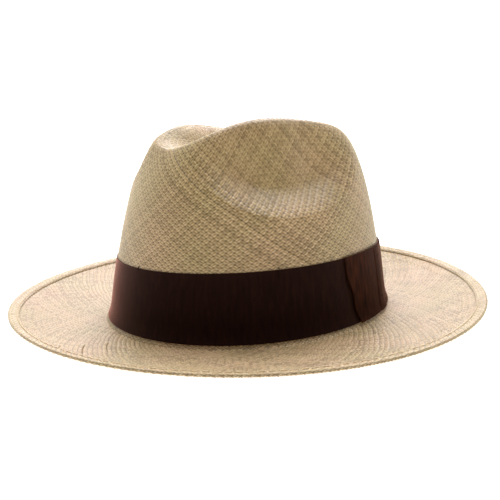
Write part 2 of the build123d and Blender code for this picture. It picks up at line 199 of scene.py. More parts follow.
def hat_point(angle, station):
    """Points of the straw's upper face: station 0 mid dent, 1 ridge, 2 brim break, 3 rim."""
    angle, station = np.broadcast_arrays(np.asarray(angle, float), np.asarray(station, float))
    ridge = wall_point(angle, np.ones_like(angle))
    inner = np.clip(station, 0.0, 1.0)
    depth = np.sin(np.pi * inner / 2.0) ** 2
    dent = np.stack([
        ridge[..., 0] * inner,
        RIDGE_SHIFT + (ridge[..., 1] - RIDGE_SHIFT) * inner,
        DENT_HEIGHT + (ridge[..., 2] - DENT_HEIGHT) * depth,
    ], -1)
    turn = np.clip(np.radians(90.0 * (2.0 - station)), 0.0, math.pi / 2.0)
    wall = wall_point(angle, np.sin(turn) ** (2.0 / shoulder_power(angle)))
    foot = wall_point(angle, np.zeros_like(angle))
    out = np.maximum(station - 2.0, 0.0)
    rim_x = BRIM_HALF_WIDTH * np.sin(np.radians(angle))
    rim_y = -BRIM_HALF_LENGTH * np.cos(np.radians(angle))
    brim = np.stack([
        foot[..., 0] + (rim_x - foot[..., 0]) * out,
        foot[..., 1] + (rim_y - foot[..., 1]) * out,
        rim_height(angle) * out ** BRIM_CURL,
    ], -1)
    on_wall = (station >= 1.0)[..., None]
    on_brim = (station > 2.0)[..., None]
    return np.where(on_brim, brim, np.where(on_wall, wall, dent))


def rim_station(inset):
    """Station of a ring this far in from the rim."""
    return 3.0 - inset / (BRIM_HALF_WIDTH - FOOT_HALF_WIDTH - FLARE)


def normals_of(surface, angle, along):
    """Unit normals of a surface(angle, along), on the side away from the head."""
    step = 0.002
    low, high = np.clip(along - step, 0.0, 1.0), np.clip(along + step, 0.0, 1.0)
    run = surface(angle, high) - surface(angle, low)
    beyond = np.maximum(along, step)
    turn = surface(angle + ANGLE_STEP, beyond) - surface(angle - ANGLE_STEP, beyond)
    normal = np.cross(run, turn)
    return normal / np.maximum(np.linalg.norm(normal, axis=-1, keepdims=True), 1e-9)


# ---------------------------------------------------------------- meshes
def new_mesh(name, points, faces, attributes=None):
    """A mesh object from points in millimetres above the brim break."""
    mesh = bpy.data.meshes.new(name)
    raised = (points + np.array([0.0, 0.0, STRAW])) * MM
    mesh.from_pydata(raised.tolist(), [], faces)
    for key, values in (attributes or {}).items():
        layer = mesh.attributes.new(key, "FLOAT", "POINT")
        layer.data.foreach_set("value", np.asarray(values, np.float32))
    mesh.validate()
    mesh.polygons.foreach_set("use_smooth", [True] * len(mesh.polygons))
    mesh.update()
    piece = bpy.data.objects.new(name, mesh)
    bpy.context.scene.collection.objects.link(piece)
    return piece


def closed_shell(faces, count):
    """Faces of a sheet, its other side (points shifted by count) and the strip along its free edges."""
    quads = np.asarray(faces)
    back = quads[:, ::-1] + count
    edges = np.concatenate([quads[:, [i, (i + 1) % 4]] for i in range(4)])
    key = np.sort(edges, axis=1)
    _, first, times = np.unique(key[:, 0] * (2 * count) + key[:, 1], return_index=True, return_counts=True)
    rim = edges[first[times == 1]]
    rim = rim[rim[:, 0] != rim[:, 1]]
    strip = np.stack([rim[:, 1], rim[:, 0], rim[:, 0] + count, rim[:, 1] + count], -1)
    return np.concatenate([quads, back, strip])


def finish_piece(piece, material):
    piece.data.materials.append(material)
    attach(piece, BODY)
    return piece


# ---------------------------------------------------------------- weaving
def weave_rows(surface, around, pair):
    """The rows of weaving passed by each of a run of places along the surface, and those places."""
    along = np.linspace(0.0, 1.0, 121)
    angle = np.arange(0.0, 360.0, 5.0)
    grid = surface(angle[None, :], along[:, None])
    girth = np.linalg.norm(np.roll(grid, -1, axis=1) - grid, axis=-1).sum(1)
    step = np.linalg.norm(np.diff(grid, axis=0), axis=-1).mean(1)
    wide = girth / around
    tall = 2.0 * np.sqrt(np.maximum(pair ** 2 - (wide / 2.0) ** 2, (FLATTEST_SQUARE * pair) ** 2))
    rows = np.concatenate([[0.0], np.cumsum(step / ((tall[1:] + tall[:-1]) / 2.0))])
    return rows, along


def woven(name, surface, around, share=(0.0, 1.0), seed=1, thick=STRAW, pair=STRAND_PAIR, tight=None):
    """A closed woven sheet over surface(angle, along), of squares of two straws over two.

    around is the number of squares round the hat, and share the part of the turn that this piece covers.
    Its edges round the hat are trimmed level, and its edges along the straws follow a groove.
    tight(point, angle) is the share by which the grooves and holes are drawn shut and their painted shade
    evened out.
    """
    rows, along_table = weave_rows(surface, around, pair)
    cuts = len(SQUARE_CUTS)
    total = rows[-1]
    first = int(math.floor(share[0] * around)) * cuts
    last = int(math.floor(share[1] * around)) * cuts
    low, high = -cuts, int(math.ceil(2.0 * total) + 1) * cuts
    difference = np.arange(low, high + 1)[:, None]
    second = np.arange(first, last + 1)[None, :]
    fine_a = difference + second
    fine_b = np.broadcast_to(second, fine_a.shape)
    place = np.array(SQUARE_CUTS)
    a = fine_a // cuts + place[fine_a % cuts]
    b = fine_b // cuts + place[fine_b % cuts]
    angle = 180.0 * (a + b) / around
    row = (a - b) / 2.0
    inside = np.clip(row, 0.0, total)
    trimmed = (row <= 0.0) | (row >= total)
    along = np.interp(inside, rows, along_table)
    point = surface(angle, along)
    normal = normals_of(surface, angle, along)

    # In each square one family of straws lies on top: it arches along its length and is grooved across.
    at_a, at_b = fine_a % cuts, fine_b % cuts
    arch, across = np.array(ARCH), np.array(ACROSS)
    odd = ((fine_a // cuts + fine_b // cuts) % 2).astype(bool)
    height_a = arch[at_a] * across[at_b]
    height_b = arch[at_b] * across[at_a]
    height = np.where(odd, height_b, height_a)
    under = np.where(odd, height_a, height_b)
    corner = (at_a == 0) & (at_b == 0)
    random = np.random.default_rng(seed)
    tones_a, tones_b = random.random(STRAWS_KNOWN), random.random(STRAWS_KNOWN)
    tone_a = tones_a[(2 * (fine_b // cuts) + (at_b > 2)) % STRAWS_KNOWN]
    tone_b = tones_b[(2 * (fine_a // cuts) + (at_a > 2)) % STRAWS_KNOWN]
    edge = (at_a == 0) | (at_b == 0)
    tone = np.where(edge, 0.5 * (tone_a + tone_b), np.where(odd, tone_b, tone_a))
    wobble = random.normal(0.0, HEIGHT_WOBBLE, height.shape)
    height = np.where(trimmed, TRIM_HEIGHT, height + wobble * (height > 0.0))
    # Painted shade: the colour is darkened in the holes, along the squares' edges, in the grooves and at the
    # trimmed edges, where shade would fall.
    painted_shade = np.where(corner, CORNER_PAINTED_SHADE, np.where(edge, EDGE_PAINTED_SHADE, GROOVE_PAINTED_SHADE * (height < GROOVE_HEIGHT)))
    beside = ((at_a == 0) & (at_b % 2 == 1)) | ((at_b == 0) & (at_a % 2 == 1))
    painted_shade = np.where(beside, BESIDE_PAINTED_SHADE, painted_shade)
    painted_shade = np.where(trimmed, TRIM_PAINTED_SHADE, painted_shade)
    # In the pinches the painted shade is evened out as the weave is drawn shut.
    if tight is not None:
        drawn = tight(point, angle)
        looseness = 1.0 - drawn
        painted_shade = painted_shade * looseness + TIGHT_PAINTED_SHADE * drawn
        height = 1.0 - (1.0 - height) * looseness
    lift = RELIEF * (height - 1.0 - CORNER_SINK * corner)
    under = np.where(trimmed, TRIM_HEIGHT, under)
    drop = RELIEF * (UNDERSIDE_RELIEF * (1.0 - under) + INNER_CORNER_RISE * corner) - thick
    outer = (point + normal * lift[..., None]).reshape(-1, 3)
    inner = (point + normal * drop[..., None]).reshape(-1, 3)

    tall, wide = fine_a.shape
    number = np.arange(tall * wide).reshape(tall, wide)
    corners = np.stack([
        number[1:-1, :-1], number[:-2, 1:], number[1:-1, 1:], number[2:, :-1],
    ], -1).reshape(-1, 4)
    rows_at = inside.reshape(-1)[corners]
    spread = rows_at.max(1) - rows_at.min(1)
    corners = corners[spread > 1e-6]
    used = np.unique(corners)
    renumber = np.zeros(tall * wide, int)
    renumber[used] = np.arange(len(used))
    faces = closed_shell(renumber[corners], len(used))
    points = np.concatenate([outer[used], inner[used]])
    painted_shades = np.concatenate([painted_shade.reshape(-1)[used], painted_shade.reshape(-1)[used]])
    tones = np.concatenate([tone.reshape(-1)[used]] * 2)
    return new_mesh(name, points, faces.tolist(), {"painted_shade": painted_shades, "tone": tones})


def plain_shell(name, surface, columns=144, rows=12):
    """A closed sheet without weaving, where nothing shows."""
    angle = (360.0 * np.arange(columns) / columns)[None, :] * np.ones((rows, 1))
    along = np.linspace(0.0, 1.0, rows)[:, None] * np.ones((1, columns))
    point = surface(angle, along)
    normal = normals_of(surface, angle, along)
    outer = (point - 0.15 * normal).reshape(-1, 3)
    inner = (point - STRAW * normal).reshape(-1, 3)
    number = np.arange(rows * columns).reshape(rows, columns)
    after = np.roll(number, -1, axis=1)
    quads = np.stack([number[:-1], number[1:], after[1:], after[:-1]], -1).reshape(-1, 4)
    faces = closed_shell(quads, rows * columns)
    plain = np.full(2 * rows * columns, 0.5)
    attributes = {"tone": plain, "painted_shade": 0.0 * plain}
    return new_mesh(name, np.concatenate([outer, inner]), faces.tolist(), attributes)


def span(start, end):
    """A surface over a run of stations."""
    return lambda angle, along: hat_point(angle, start + (end - start) * along)


def station_at(angle, height):
    """Station of a point of the crown wall at this height."""
    share = np.clip(height / ridge_height(angle), 0.0, 1.0)
    return 2.0 - np.degrees(np.arcsin(share ** (shoulder_power(angle) / 2.0))) / 90.0


def crown_side(angle, along):
    """The crown wall from over the ridge to the covered foot, its rows of weaving level near the foot."""
    foot = station_at(angle, COVERED_HEIGHT)
    climb = 1.0 - along
    even = SIDE_START + (foot - SIDE_START) * along
    level = station_at(angle, COVERED_HEIGHT + ROW_CLIMB * climb)
    share = 1.0 - smooth(climb / LEVEL_ROWS)
    return hat_point(angle, even + (level - even) * share)


def tight_in_pinch(point, angle):
    """The weave is drawn tighter inside the pinches."""
    return TIGHT_SHARE * smooth(pinch(angle, point[..., 2]) / TIGHT_DEPTH)


def crown_foot(angle, along):
    """The hidden foot of the crown wall, down to the brim break."""
    top = station_at(angle, COVERED_HEIGHT)
    return hat_point(angle, top + (2.0 - BREAK_ROUND - top) * along)


FOLD_STEP = 0.6                 # length of the step up from the brim onto the fold
FOLD_STEP_RUN = 0.5             # how far that step leans towards the rim
FOLD_FOOT = 0.15                # height above the brim at which that step begins
FOLD_ARC = 3.2                  # length of the weave round the rim
FOLD_UNDER = 2.2                # how far it runs back beneath the rim
FOLD_CLEAR = 0.1                # gap between the brim and the weave beneath it


def fold_surface(angle, along):
    """The turned-over edge: up the step, out over the brim, round the rim and back below it."""
    angle, along = np.broadcast_arrays(np.asarray(angle, float), np.asarray(along, float))
    under = -STRAW - FOLD_CLEAR
    flat = FOLD_WIDTH - RIM_ROUND - FOLD_STEP
    lengths = np.array([FOLD_STEP, flat, FOLD_ARC, FOLD_UNDER])
    marks = np.concatenate([[0.0], np.cumsum(lengths)]) / lengths.sum()
    insets = [FOLD_WIDTH, FOLD_WIDTH - FOLD_STEP_RUN, RIM_ROUND, RIM_ROUND, RIM_ROUND + FOLD_UNDER]
    inset = np.interp(along, marks, insets)
    lift = np.interp(along, marks, [FOLD_FOOT, FOLD_THICK, FOLD_THICK, under, under])
    turn = np.clip((along - marks[2]) / (marks[3] - marks[2]), 0.0, 1.0) * math.pi
    round_it = (along > marks[2]) & (along < marks[3])
    inset = np.where(round_it, RIM_ROUND * (1.0 - np.sin(turn)), inset)
    lift = np.where(round_it, (FOLD_THICK + under + (FOLD_THICK - under) * np.cos(turn)) / 2.0, lift)
    station = rim_station(inset)
    base = hat_point(angle, station)
    ahead = hat_point(angle, station + 0.01)
    behind = hat_point(angle, station - 0.01)
    turned = hat_point(angle + ANGLE_STEP, station) - hat_point(angle - ANGLE_STEP, station)
    up = np.cross(ahead - behind, turned)
    up /= np.linalg.norm(up, axis=-1, keepdims=True)
    return base + up * lift[..., None]


# ---------------------------------------------------------------- materials
def node_material(name):
    material = bpy.data.materials.new(name)
    material.use_nodes = True
    tree = material.node_tree
    shader = tree.nodes["Principled BSDF"]
    return material, tree, shader


def add_node(tree, kind, **inputs):
    node = tree.nodes.new(kind)
    for key, value in inputs.items():
        node.inputs[key.replace("_", " ")].default_value = value
    return node


def ramp(tree, source, stops):
    node = tree.nodes.new("ShaderNodeValToRGB")
    elements = node.color_ramp.elements
    while len(elements) < len(stops):
        elements.new(0.5)
    for element, (place, colour) in zip(elements, stops):
        element.position = place
        element.color = (*colour, 1.0)
    tree.links.new(source, node.inputs["Fac"])
    return node.outputs["Color"]


def mix(tree, blend, factor, first, second):
    node = tree.nodes.new("ShaderNodeMix")
    node.data_type = "RGBA"
    node.blend_type = blend
    if isinstance(factor, float):
        node.inputs[0].default_value = factor
    else:
        tree.links.new(factor, node.inputs[0])
    for socket, value in ((6, first), (7, second)):
        if isinstance(value, tuple):
            node.inputs[socket].default_value = (*value, 1.0)
        else:
            tree.links.new(value, node.inputs[socket])
    return node.outputs[2]


def noise(tree, scale, detail=3.0, coordinates=None):
    node = add_node(tree, "ShaderNodeTexNoise", Scale=scale, Detail=detail)
    if coordinates is None:
        coordinates = tree.nodes.new("ShaderNodeTexCoord").outputs["Object"]
    tree.links.new(coordinates, node.inputs["Vector"])
    return node.outputs["Fac"]


def bump(tree, shader, height, strength, distance):
    node = add_node(tree, "ShaderNodeBump", Strength=strength, Distance=distance)
    tree.links.new(height, node.inputs["Height"])
    tree.links.new(node.outputs["Normal"], shader.inputs["Normal"])


def straw_material(name, bright, pale, deep):
    """Toquilla straw: each straw its own tone, with painted shade in the grooves and holes of the weave."""
    material, tree, shader = node_material(name)
    tone = add_node(tree, "ShaderNodeAttribute")
    tone.attribute_name = "tone"
    painted_shade = add_node(tree, "ShaderNodeAttribute")
    painted_shade.attribute_name = "painted_shade"
    colour = ramp(tree, tone.outputs["Fac"], [(0.0, deep), (0.5, pale), (1.0, bright)])
    patches = ramp(tree, noise(tree, 26.0), [(0.35, (0.90, 0.95, 0.86)), (0.65, (1.0, 0.97, 1.0))])
    colour = mix(tree, "MULTIPLY", 1.0, colour, patches)
    fibres = ramp(tree, noise(tree, 900.0), [(0.3, (0.9, 0.88, 0.84)), (0.7, (1.0, 1.0, 1.0))])
    colour = mix(tree, "MULTIPLY", 0.7, colour, fibres)
    # painted shade: the weave's grooves and holes are darkened by the point attribute
    hollow = ramp(tree, painted_shade.outputs["Fac"], [(0.0, (1.0, 1.0, 1.0)), (0.3, (0.62, 0.56, 0.46)),
                                             (1.0, (0.06, 0.045, 0.025))])
    colour = mix(tree, "MULTIPLY", 1.0, colour, hollow)
    tree.links.new(colour, shader.inputs["Base Color"])
    shader.inputs["Roughness"].default_value = 0.42
    shader.inputs["Specular IOR Level"].default_value = 0.6
    shader.inputs["Sheen Weight"].default_value = 0.22
    shader.inputs["Subsurface Weight"].default_value = 0.22
    shader.inputs["Subsurface Radius"].default_value = (1.0, 0.72, 0.5)
    shader.inputs["Subsurface Scale"].default_value = 0.002
    shader.inputs["Sheen Roughness"].default_value = 0.45
    bump(tree, shader, noise(tree, 1500.0, 2.0), 0.15, 0.0002)
    return material


def ribbon_material(name, dark, warm, gleam, tint, grazing=0.32):
    """Grosgrain: dark ribbed rayon with reddish streaks and a soft sheen."""
    material, tree, shader = node_material(name)
    where = tree.nodes.new("ShaderNodeTexCoord").outputs["Object"]
    stretch = add_node(tree, "ShaderNodeMapping", Scale=(1.0, 1.0, 0.12))
    tree.links.new(where, stretch.inputs["Vector"])
    streaks = noise(tree, 420.0, 4.0, stretch.outputs["Vector"])
    colour = ramp(tree, streaks, [(0.3, dark), (0.72, warm)])
    tree.links.new(colour, shader.inputs["Base Color"])
    shader.inputs["Roughness"].default_value = 0.75
    shader.inputs["Specular IOR Level"].default_value = 0.05
    shader.inputs["Sheen Weight"].default_value = gleam
    shader.inputs["Sheen Roughness"].default_value = grazing
    shader.inputs["Sheen Tint"].default_value = (*tint, 1.0)
    bump(tree, shader, noise(tree, 2500.0, 2.0), 0.2, 0.0001)
    return material


def leather_material():
    material, tree, shader = node_material("sweatband_leather")
    colour = ramp(tree, noise(tree, 60.0, 6.0), [(0.3, (0.24, 0.12, 0.055)), (0.7, (0.36, 0.19, 0.09))])
    tree.links.new(colour, shader.inputs["Base Color"])
    shader.inputs["Roughness"].default_value = 0.5
    cells = add_node(tree, "ShaderNodeTexVoronoi", Scale=900.0)
    tree.links.new(tree.nodes.new("ShaderNodeTexCoord").outputs["Object"], cells.inputs["Vector"])
    bump(tree, shader, cells.outputs["Distance"], 0.35, 0.0002)
    return material


def thread_material(name, colour):
    material, tree, shader = node_material(name)
    dark = tuple(0.8 * part for part in colour)
    tones = ramp(tree, noise(tree, 1800.0), [(0.3, dark), (0.7, colour)])
    tree.links.new(tones, shader.inputs["Base Color"])
    shader.inputs["Roughness"].default_value = 0.85
    shader.inputs["Specular IOR Level"].default_value = 0.1
    return material


# ---------------------------------------------------------------- the straw
STRAW_TONES = (                 # colours of the brightest, the usual and the darkest straws, for one straw painted at three brightnesses
    ("toquilla_straw_brim", ((0.70, 0.545, 0.33), (0.60, 0.46, 0.26), (0.36, 0.26, 0.13))),
    # the hem's copy: painted lighter, as painted light against the shade along the turned-over rim
    ("toquilla_straw_hem_painted_lighter", ((0.80, 0.62, 0.38), (0.71, 0.54, 0.31), (0.52, 0.38, 0.2))),
    # the crown's copy: painted lighter than the brim's, to offset the shade on the crown's walls
    ("toquilla_straw", ((0.76, 0.585, 0.33), (0.66, 0.50, 0.262), (0.42, 0.30, 0.14))),
)
BRIM_WEAVE_INSET = 1.3          # from the rim to the end of the brim's weave, inside the fold
SIDE_PARTS = 3
SIDE_SQUARES = 111              # squares of weaving round the crown's side
TOP_RINGS = ((0.55, SIDE_START, 84), (0.24, 0.55, 44), (0.0, 0.24, 20))     # stations, squares round
BRIM_RINGS = (
    (2.0 - BREAK_ROUND, 2.24, 152),
    (2.24, 2.5, 176),
    (2.5, 2.76, 200),
    (2.76, rim_station(BRIM_WEAVE_INSET), 222),
)
FOLD_SQUARES = 232
FOLD_CLOTH = 0.8                # thickness of the turned-over straw


def make_straw():
    brim_material, lightened_hem_material, material = (straw_material(name, *tones) for name, tones in STRAW_TONES)
    side = []
    for number in range(SIDE_PARTS):
        share = (number / SIDE_PARTS, (number + 1.0) / SIDE_PARTS)
        name = f"straw_crown_side_{number + 1}"
        side.append(woven(name, crown_side, SIDE_SQUARES, share, seed=11, tight=tight_in_pinch))
    crown = [plain_shell("straw_crown_foot", crown_foot)]
    for number, (start, end, around) in enumerate(TOP_RINGS):
        crown.append(woven(f"straw_crown_top_{number + 1}", span(start, end), around, seed=12 + number))
    brim = []
    for number, (start, end, around) in enumerate(BRIM_RINGS):
        name = f"straw_brim_ring_{number + 1}"
        brim.append(woven(name, span(start, end), around, seed=15 + number, pair=BRIM_PAIR))
    fold = woven("straw_brim_fold", fold_surface, FOLD_SQUARES, seed=19, thick=FOLD_CLOTH, pair=BRIM_PAIR)
    for piece in side + crown:
        finish_piece(piece, material)
    for piece in brim:
        finish_piece(piece, brim_material)
    finish_piece(fold, lightened_hem_material)
    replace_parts(side[0], "straw_body")


# ---------------------------------------------------------------- ribbon
RIB_PITCH = 1.1                 # from one grosgrain rib to the next
RIB_HEIGHT = 0.09
CLOTH = 0.24                    # thickness of the ribbon itself
RIB_CUTS = 3
BAND_LAYER = 0.32               # middle of each layer of ribbon, outwards from the straw
TAIL_LAYER = 0.66
LOOP_LAYER = 1.12
LOOP_HALF_GAP = 0.17            # from the middle of a loop to the middle of either of its layers
LOOP_EDGE_RISE = 0.4            # how far a loop's free edge stands off
KNOT_LAYER = 1.62
KNOT_TUCK = 0.3                 # how far the knot's sides turn in
FOLD_AT, FOLD_END = 0.46, 0.54  # where a loop turns back, as shares of its length
TAIL_RIB_RUN = 50.0             # ribs of this much ribbon are spread over the tail, so they lie wider
KNOT_RIB_RUN = 15.5             # the same for the knot, whose ribs lie a little closer
LOOP_FLAT = (0.078, 0.0415)     # flat sizes of the strips, in metres
REAR_LOOP_FLAT = (0.086, 0.0415)
BAND_FLAT = (0.592, 0.040)
BAND_COLOURS = ((0.0095, 0.0030, 0.0018), (0.019, 0.0060, 0.0034))
BOW_COLOURS = ((0.015, 0.0046, 0.0019), (0.058, 0.0155, 0.0050))
SATIN_COLOURS = ((0.05, 0.022, 0.012), (0.1, 0.045, 0.024))


def ribbon(name, surface, length, rows, material, thick=CLOTH, rib=RIB_HEIGHT):
    """A closed strip of ribbon over surface(along, up), ribbed across its length."""
    ribs = max(int(round(length / RIB_PITCH)), 2)
    columns = ribs * RIB_CUTS + 1
    along = np.linspace(0.0, 1.0, columns)[None, :]
    up = 0.5 - 0.5 * np.cos(np.pi * np.linspace(0.0, 1.0, rows))[:, None]
    along, up = np.broadcast_arrays(along, up)
    point = surface(along, up)
    step = 0.5 / columns
    run = surface(np.clip(along + step, 0, 1), up) - surface(np.clip(along - step, 0, 1), up)
    rise = surface(along, np.clip(up + 0.01, 0, 1)) - surface(along, np.clip(up - 0.01, 0, 1))
    normal = np.cross(run, rise)
    normal /= np.maximum(np.linalg.norm(normal, axis=-1, keepdims=True), 1e-9)
    groove = (np.arange(columns) % RIB_CUTS == 0).astype(float)[None, :] * np.ones_like(up)
    relief = rib * (0.5 - groove)
    edge = np.minimum(up, 1.0 - up)
    relief = relief * smooth(edge / 0.02)
    outer = (point + normal * (thick / 2.0 + relief)[..., None]).reshape(-1, 3)
    inner = (point - normal * (thick / 2.0 + relief)[..., None]).reshape(-1, 3)
    number = np.arange(rows * columns).reshape(rows, columns)
    quads = np.stack([number[:-1, :-1], number[:-1, 1:], number[1:, 1:], number[1:, :-1]], -1).reshape(-1, 4)
    faces = closed_shell(quads, rows * columns)
    piece = new_mesh(name, np.concatenate([outer, inner]), faces.tolist())
    return finish_piece(piece, material)


def band_top(angle):
    """Height of the band's upper edge."""
    tilt = math.tan(math.radians(BAND_TILT)) * FOOT_HALF_WIDTH
    return BAND_FOOT + BAND_WIDTH + tilt * np.cos(np.radians(angle - BAND_TILT_ANGLE))


def ribbon_point(angle, up, outward, foot=0.0, top=0.0):
    """A point on a ribbon over the band: up is 0 at the band's foot and 1 at its top."""
    low = BAND_FOOT + foot
    high = band_top(angle) + top
    return beside_wall(angle, low + (high - low) * up, outward)


def band_surface(along, up):
    angle = KNOT_ANGLE + 0.5 + 359.0 * along
    wave = 0.08 * np.sin(np.radians(7.0 * angle)) + 0.06 * np.sin(np.radians(17.0 * angle) + 1.0)
    return ribbon_point(angle, up, BAND_LAYER + 0.6 * wave * up)


def wing_edge(up):
    """Angle of the front wing's free edge: two soft steps back on the way down, in an S."""
    steps = 0.5 * smooth((0.72 - up) / 0.3) + 0.5 * smooth((0.3 - up) / 0.36)
    return BOW_START + BOW_SLANT * (0.2 * (1.0 - up) + 0.8 * steps)


def folded_back(along):
    """How far a loop has turned over, in radians, and how far from the knot it is, from 0 to 1."""
    fold = np.clip((along - FOLD_AT) / (FOLD_END - FOLD_AT), 0.0, 1.0) * math.pi
    out = np.clip(along / FOLD_AT, 0.0, 1.0)
    back = np.clip((along - FOLD_END) / (1.0 - FOLD_END), 0.0, 1.0)
    return fold, np.where(along < 0.5, out, 1.0 - back)


def loop_surface(edge, knot, turned, puff, top):
    """A flattened loop of ribbon: outer face from the knot to the fold at edge(up), then back beneath."""
    def surface(along, up):
        fold, reach = folded_back(along)
        angle = knot + (edge(up) - knot) * reach + turned * 0.35 * np.sin(fold)
        rise = puff * np.sin(np.pi * reach ** 1.6) ** 1.5 * (along < 0.5)
        rise = rise + LOOP_EDGE_RISE * reach ** 8
        layer = LOOP_LAYER + LOOP_HALF_GAP * np.cos(fold)
        return ribbon_point(angle, up, layer + rise, -WING_DROP, top)
    return surface


def rear_edge(up):
    """Angle of the rear wing's free edge."""
    return REAR_WING_END - 2.4 * (1.0 - up) - 0.5 * np.sin(2.0 * np.pi * up)


def tail_surface(along, up):
    start = wing_edge(up) + 2.2
    angle = start + (TAIL_END - 3.0 * up - start) * along
    return ribbon_point(angle, up, TAIL_LAYER, -2.0 * WING_DROP, -WING_OVERHANG)


def knot_surface(along, up):
    """Upright wrap round the bow's waist, narrower in the middle, its sides tucked under."""
    waist = 0.82 + 0.18 * (2.0 * up - 1.0) ** 2
    across = 2.0 * along - 1.0
    angle = KNOT_ANGLE + math.degrees(KNOT_WIDTH / 2.0 / KNOT_RADIUS) * across * waist
    tuck = KNOT_TUCK * np.abs(across) ** 7
    crown = 0.1 * np.sin(np.pi * up) + 0.15 * (1.0 - across * across)
    return ribbon_point(angle, up, KNOT_LAYER + crown - tuck, -2.0 * WING_DROP, KNOT_OVERHANG)


def make_ribbons():
    band_material = ribbon_material("grosgrain_band", *BAND_COLOURS, 1.0, (0.95, 0.48, 0.38))
    bow_material = ribbon_material("grosgrain_bow", *BOW_COLOURS, 0.5, (0.9, 0.48, 0.32), 0.2)
    band = ribbon("hat_band_ribbon", band_surface, BAND_FLAT[0] / MM, 15, band_material)
    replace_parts(band, "hat_band")
    front_surface = loop_surface(wing_edge, KNOT_ANGLE - 0.5, -1.0, 0.25, WING_OVERHANG)
    front = ribbon("bow_front_loop", front_surface, LOOP_FLAT[0] / MM, 29, bow_material)
    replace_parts(front, "bow_front_wing")
    rear_surface = loop_surface(rear_edge, KNOT_ANGLE + 0.5, 1.0, 0.05, REAR_WING_OVERHANG)
    rear = ribbon("bow_rear_loop", rear_surface, REAR_LOOP_FLAT[0] / MM, 29, bow_material)
    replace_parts(rear, "bow_rear_wing")
    tail = ribbon("bow_tail_ribbon", tail_surface, TAIL_RIB_RUN, 15, bow_material)
    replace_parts(tail, "bow_tail")
    knot = ribbon("bow_knot_ribbon", knot_surface, KNOT_RIB_RUN, 25, bow_material)
    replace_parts(knot, "bow_knot")


# ---------------------------------------------------------------- thread, sweatband and label
THREAD_RADIUS = 0.26
THREAD_END = 0.55               # size of a thread's end, as a share of its radius
THREAD_AXIS = Vector((0.3, 0.2, 1.0))       # a direction that no stitch runs along
HEM_STITCHES = 180
HEM_STITCH_INSET = FOLD_WIDTH - 2.0         # from the rim to the hem's stitches
SWEATBAND_STITCHES = 110
SWEATBAND_LOW = SWEATBAND_FOOT - STRAW      # the sweatband's lower edge
HEAD_FACE = -(STRAW + GAP + SWEATBAND_THICK)        # its face towards the head
SWEATBAND_MIDDLE = -(STRAW + GAP + SWEATBAND_THICK / 2.0)       # the middle of its thickness
SMALL_BOW_FLAT = (0.026, 0.0105)
SMALL_BOW_HEIGHT = 11.5
SMALL_BOW_LAYER = 0.9           # from the sweatband to the middle of its bow's loops
LABEL_ANGLE = 215.0
LABEL_HEIGHT = 19.0
BAND_TACK_FACE = 0.5            # outer face of the band, outwards from the straw
BOW_TACK_FACE = 2.05            # outer face of the bow's knot


def thread_mesh(name, arcs, material, sides=6):
    """Many short threads in one mesh; each arc is a list of points, narrowed and closed at both ends."""
    points, faces = [], []
    for arc in arcs:
        start = len(points)
        arc = [Vector(point) for point in arc]
        for index, point in enumerate(arc):
            ahead = arc[min(index + 1, len(arc) - 1)] - arc[max(index - 1, 0)]
            across = ahead.cross(THREAD_AXIS).normalized()
            up = ahead.cross(across).normalized()
            size = THREAD_RADIUS * (THREAD_END if index in (0, len(arc) - 1) else 1.0)
            for side in range(sides):
                turn = 2.0 * math.pi * side / sides
                points.append(point + size * (math.cos(turn) * across + math.sin(turn) * up))
        for ring in range(len(arc) - 1):
            low = start + ring * sides
            for side in range(sides):
                after = (side + 1) % sides
                faces.append((low + side, low + after, low + sides + after, low + sides + side))
        faces.append(tuple(start + side for side in range(sides))[::-1])
        faces.append(tuple(start + (len(arc) - 1) * sides + side for side in range(sides)))
    points = np.array([tuple(point) for point in points])
    return finish_piece(new_mesh(name, points, faces), material)


def stitch_arc(place, length, steps=5, sink=0.35, stand=0.3):
    """One stitch of points place(run, lift), run from -length/2 to length/2, rising out of the cloth."""
    arc = []
    for index in range(steps + 1):
        share = index / steps
        lift = -sink + (sink + stand) * math.sin(math.pi * share) ** 0.6
        arc.append(place((share - 0.5) * length, lift))
    return arc


def hem_place(middle, station):
    """Places of a stitch on the turned-over rim."""
    def place(turn, lift):
        angle = np.array([middle + turn])
        normal = -normals_of(lambda a, t: hat_point(a, 3.0 - t), angle, np.array([3.0 - station]))[0]
        return hat_point(angle, station)[0] + normal * (FOLD_THICK + lift)
    return place


def wall_place(middle, height, outward, upright=False):
    """Places of a stitch on the crown's foot, round the hat or upright."""
    def place(turn, lift):
        angle = np.array([middle + (0.0 if upright else turn)])
        level = np.array([height + (turn if upright else 0.0)])
        return beside_wall(angle, level, outward + lift * (1.0 if outward > 0.0 else -1.0), 0.0)[0]
    return place


